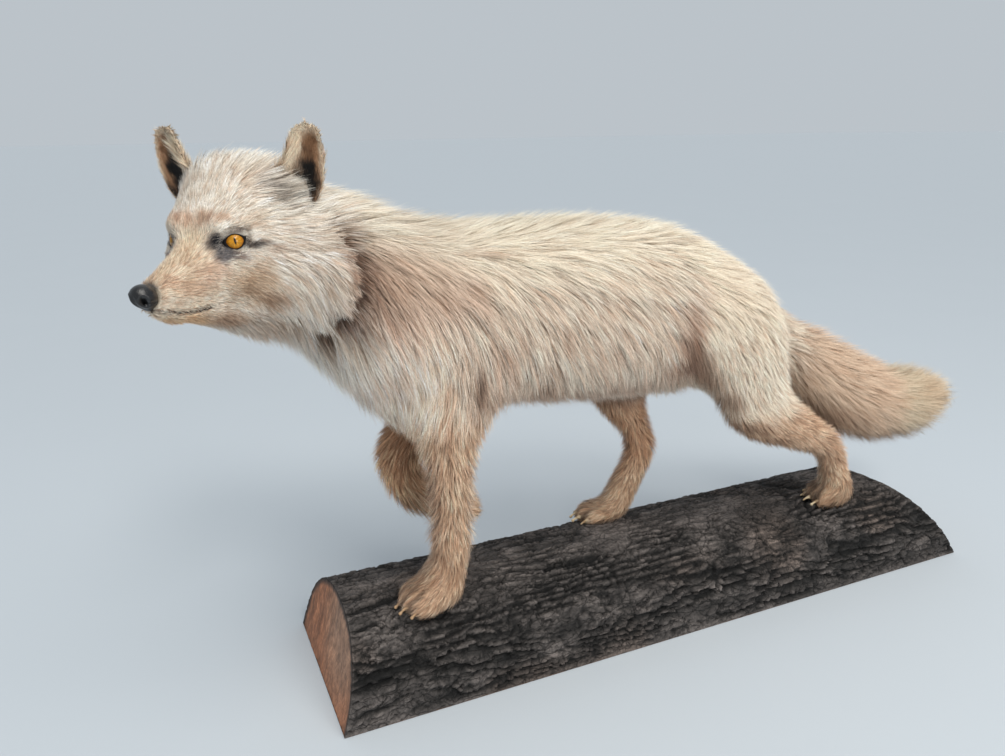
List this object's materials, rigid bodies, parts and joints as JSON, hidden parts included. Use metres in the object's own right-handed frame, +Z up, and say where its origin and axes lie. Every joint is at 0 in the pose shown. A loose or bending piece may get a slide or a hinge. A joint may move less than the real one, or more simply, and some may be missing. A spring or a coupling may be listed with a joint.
{
  "type": "taxidermy fox on a half-log base",
  "caption": "Taxidermy fox in pale arctic coat, walking on a bark-covered half log with a fore paw lifted, head turned to its left and brush held low.",
  "frame": {"origin": "middle of the log's flat underside, on the surface it stands on", "axes": "+Z up, +X along the log from the fox's head to its tail, so the fox faces -X and its left side is on -Y"},
  "size_m": [0.8017, 0.1695, 0.4414],
  "materials": {
    "pale_coat": "dense long cream-white fur with beige-brown streaks",
    "leg_coat": "short tan-brown fur",
    "ear_coat": "short fur, black-brown inside with a cream rim",
    "nose_skin": "black, semi-gloss, pebbled",
    "glass_eye": "clear glass over an amber iris with an upright slit pupil",
    "horn": "pale ivory horn",
    "bark": "charcoal-black rough bark, sawn reddish-brown ends"
  },
  "bodies": {
    "root": {"head": "pale_coat", "neck": "pale_coat", "chest": "pale_coat", "loin": "pale_coat", "rump": "pale_coat", "tail_root": "pale_coat", "tail_brush": "pale_coat", "thigh_left": "pale_coat", "thigh_right": "pale_coat", "forearm_left": "leg_coat", "forearm_right": "leg_coat", "shank_left": "leg_coat", "shank_right": "leg_coat", "paw_fore_left": "leg_coat", "paw_fore_right": "leg_coat", "paw_hind_left": "leg_coat", "paw_hind_right": "leg_coat", "ear_left": "ear_coat", "ear_right": "ear_coat", "eye_left": "glass_eye", "eye_right": "glass_eye", "nose": "nose_skin", "claw_fore_left_1": "horn", "claw_fore_left_2": "horn", "claw_fore_left_3": "horn", "claw_fore_left_4": "horn", "claw_fore_right_1": "horn", "claw_fore_right_2": "horn", "claw_fore_right_3": "horn", "claw_fore_right_4": "horn", "claw_hind_left_1": "horn", "claw_hind_left_2": "horn", "claw_hind_left_3": "horn", "claw_hind_left_4": "horn", "claw_hind_right_1": "horn", "claw_hind_right_2": "horn", "claw_hind_right_3": "horn", "claw_hind_right_4": "horn", "log_base": "bark"}
  },
  "joints": []
}
